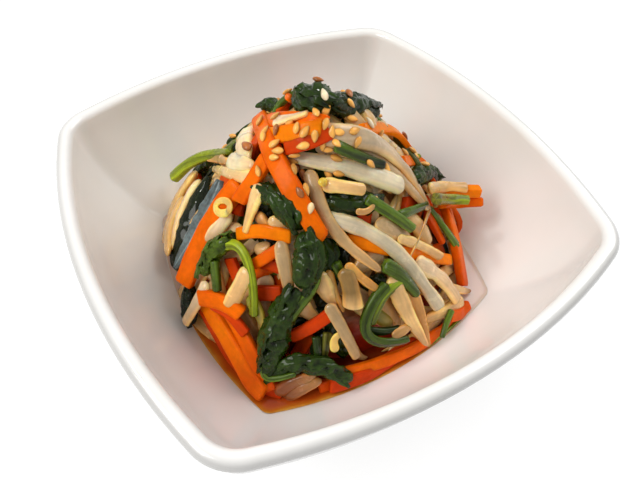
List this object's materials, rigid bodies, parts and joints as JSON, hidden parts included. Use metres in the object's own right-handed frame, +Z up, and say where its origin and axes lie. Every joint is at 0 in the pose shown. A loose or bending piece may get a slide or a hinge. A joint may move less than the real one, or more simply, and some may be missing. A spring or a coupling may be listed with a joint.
{
  "type": "bowl of mixed namul",
  "caption": "Square white porcelain bowl with bowed sides holding a tall mound of seasoned bean sprouts, carrot strips and spinach with sesame, in a shallow orange broth.",
  "frame": {"origin": "centre of the underside of the bowl's foot, on the surface it rests on", "axes": "+Z up out of the bowl's mouth; +X and +Y square to two neighbouring sides of the bowl"},
  "size_m": [0.132, 0.132, 0.0773],
  "materials": {
    "porcelain": "glossy white glaze",
    "broth": "wet, orange-red, oily",
    "vegetables": "wet; cream bean sprouts, orange carrot, dark green spinach and tan sesame"
  },
  "bodies": {
    "root": {"bowl": "porcelain", "broth": "broth", "namul": "vegetables"}
  },
  "joints": []
}
